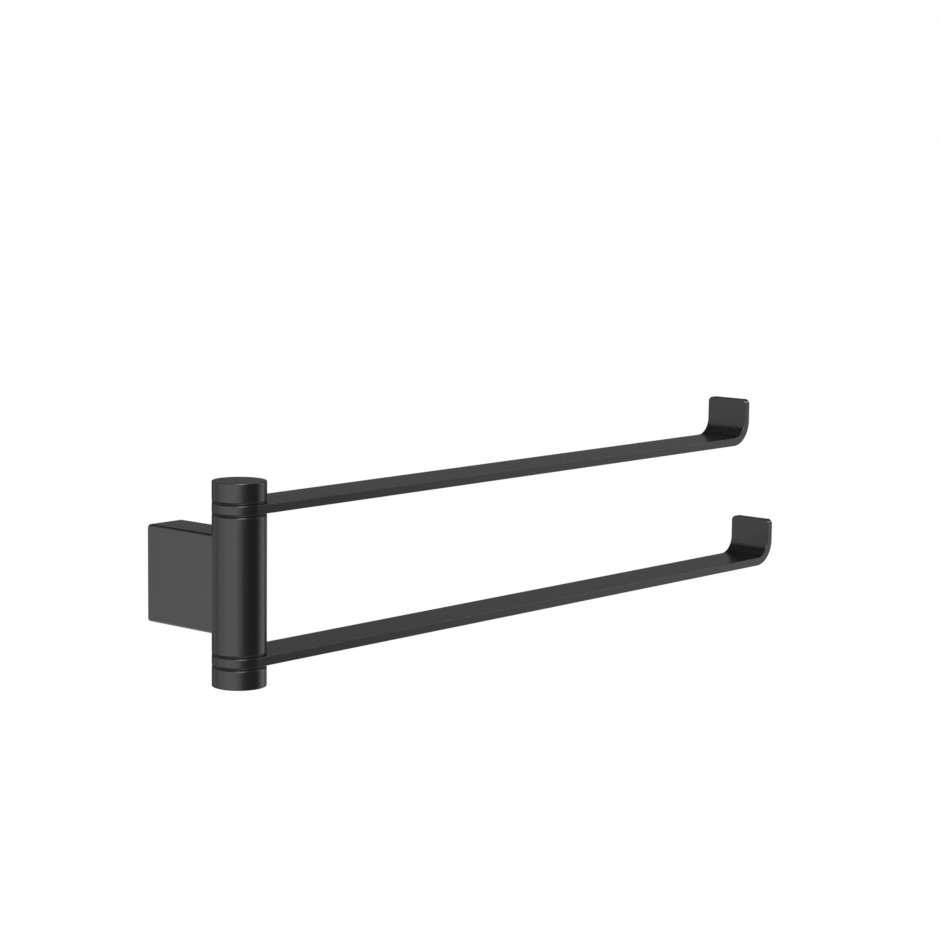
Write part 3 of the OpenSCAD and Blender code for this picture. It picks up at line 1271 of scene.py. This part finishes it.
@dataclass(frozen=True)
class Flag:
    """A card that only reflections see, as a photographer stands beside a glossy black piece.

    It is part of an upright cylinder about the post, bent from one heading to another. The point
    at heading a and height h lies at the post plus the distance times (cos a, sin a), at height h.
    It is black, or glows as a lit grey card does.
    """

    name: str
    from_deg: float
    to_deg: float
    low: float
    high: float
    distance: float = 1.7
    glow: float = 0.0
    step_deg: float = 4.0
    centre: Pair = POST_AXIS

    def build(self) -> None:
        """Makes the card, part of the stage, which the camera and the light itself pass by."""
        steps = int((self.to_deg - self.from_deg) / self.step_deg)
        turn = np.radians(np.linspace(self.from_deg, self.to_deg, steps + 1))[:, None]
        x = self.centre[0] + self.distance * np.cos(turn)
        y = self.centre[1] + self.distance * np.sin(turn)
        points = points_of(x, y, np.array([self.low, self.high]))
        mesh = bpy.data.meshes.new(self.name)
        quads = grid_quads(*points.shape[:2])
        mesh.from_pydata(points.reshape(-1, 3).tolist(), [], quads.tolist())
        card = show(self.name, mesh)
        material = bpy.data.materials.new(self.name)
        material.cycles.emission_sampling = "NONE"
        nodes = Nodes.of(material)
        face = nodes.add("ShaderNodeEmission", (0, 0), {"Strength": self.glow})
        nodes.add("ShaderNodeOutputMaterial", (250, 0), {"Surface": face.outputs[0]})
        mesh.materials.append(material)
        card.visible_camera = False
        card.visible_diffuse = False
        card.visible_shadow = False


@dataclass
class Studio:
    """A pale floor, a white world, soft lights, and cards for the reflections."""

    floor_z: float = -1.0
    floor_half: float = 30.0
    floor_colour: float = 0.8
    floor_glow: float = 1.05
    glow_share: float = 0.95
    world_glow: float = 0.2
    boxes: tuple[SoftBox, ...] = (
        SoftBox("low_left_soft_box", 192.0, -8.0, 2.4, 2.77, 1.0, 1.2),
        SoftBox("left_soft_box", 147.0, -8.0, 2.4, 0.75, 1.0, 0.56),
        SoftBox("low_right_soft_box", 348.0, -14.0, 2.4, 0.5, 0.5, 1.65),
        SoftBox("right_gloss_box", 340.0, 36.0, 2.4, 0.8, 1.7, 2.75, only_gloss=True),
        SoftBox("front_gloss_strip", 237.0, 44.0, 1.6, 0.7, 1.9, 13.5, only_gloss=True),
    )
    cards: tuple[Flag, ...] = (
        Flag("front_flag", 238.0, 316.0, -0.98, 3.2, distance=2.55, glow=0.075),
        Flag("low_front_flag", 238.0, 316.0, -0.98, -0.64, glow=0.075),
        Flag("back_flag", -12.0, 82.0, -0.98, 3.2),
        Flag("grey_back_flag", -12.0, 95.0, -0.02, 0.55, distance=1.65, glow=0.225),
        Flag("low_right_back_flag", -12.0, 34.0, -0.98, -0.02, distance=1.65, glow=0.36),
        Flag("low_left_back_flag", 34.0, 88.0, -0.98, -0.02, distance=1.65, glow=0.06),
        Flag("left_flag", 88.0, 128.0, -0.98, 0.12, glow=0.50),
        Flag("high_left_flag", 82.0, 148.0, 1.25, 3.2),
    )

    @staticmethod
    def _seen(nodes: Nodes) -> Socket:
        """Finds the rays that come from the camera or that gloss or glass sends on.

        Args:
            nodes: The helper for the tree.

        Returns:
            1 for those rays, 0 for the others.
        """
        rays = nodes.add("ShaderNodeLightPath", (-600, 300)).outputs
        direct = nodes.math("MAXIMUM", (-350, 300), rays["Is Camera Ray"], rays["Is Glossy Ray"])
        return nodes.math("MAXIMUM", (-150, 300), direct, rays["Is Transmission Ray"])

    def world(self) -> None:
        """Makes the world: white where it is seen, and a soft grey light elsewhere."""
        world = bpy.data.worlds.new("studio_world")
        world.cycles.sampling_method = "NONE"
        nodes = Nodes.of(world)
        grey = {"Color": WHITE, "Strength": self.world_glow}
        soft = nodes.add("ShaderNodeBackground", (0, 0), grey).outputs[0]
        white = nodes.add("ShaderNodeBackground", (0, -200), {"Color": WHITE}).outputs[0]
        inputs = {0: self._seen(nodes), 1: soft, 2: white}
        mix = nodes.add("ShaderNodeMixShader", (250, 0), inputs)
        nodes.add("ShaderNodeOutputWorld", (450, 0), {"Surface": mix.outputs[0]})
        bpy.context.scene.world = world

    def floor(self) -> None:
        """Makes the pale floor, which glows where it is seen, so that it comes to white."""
        h, z = self.floor_half, self.floor_z
        mesh = bpy.data.meshes.new("studio_floor")
        mesh.from_pydata([(-h, -h, z), (h, -h, z), (h, h, z), (-h, h, z)], [], [(0, 1, 2, 3)])
        floor = show("studio_floor", mesh)
        material = bpy.data.materials.new("pale_floor")
        material.cycles.emission_sampling = "NONE"
        nodes = Nodes.of(material)
        grey = {"Color": (*(self.floor_colour,) * 3, 1.0)}
        paint = nodes.add("ShaderNodeBsdfDiffuse", (0, 0), grey).outputs[0]
        light = {"Strength": self.floor_glow}
        glow = nodes.add("ShaderNodeEmission", (0, -200), light).outputs[0]
        seen = nodes.math("MULTIPLY", (50, 300), self._seen(nodes), self.glow_share)
        mix = nodes.add("ShaderNodeMixShader", (250, 0), {0: seen, 1: paint, 2: glow})
        nodes.add("ShaderNodeOutputMaterial", (450, 0), {"Surface": mix.outputs[0]})
        mesh.materials.append(material)

    def build(self) -> None:
        """Makes the studio and sets how colours are shown."""
        self.world()
        self.floor()
        for thing in (*self.boxes, *self.cards):
            thing.build()
        bpy.context.scene.view_settings.view_transform = "Standard"


def main() -> None:
    """Builds the camera, the rail's pieces in order and the studio."""
    logging.basicConfig(level=logging.INFO, format="%(name)s: %(message)s")
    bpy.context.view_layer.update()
    PhotoCamera().build()
    finishes = Finishes()
    WallBlock().build(finishes)
    Post().build(finishes)
    SwingArm("upper_arm", Body.UPPER, reach=0.422, underside=UPPER_ARM_FOOT).build(finishes)
    SwingArm("lower_arm", Body.LOWER, reach=0.450, underside=LOWER_ARM_FOOT).build(finishes)
    InnerFittings().dress(finishes)
    Studio().build()


if __name__ == "__main__":
    main()
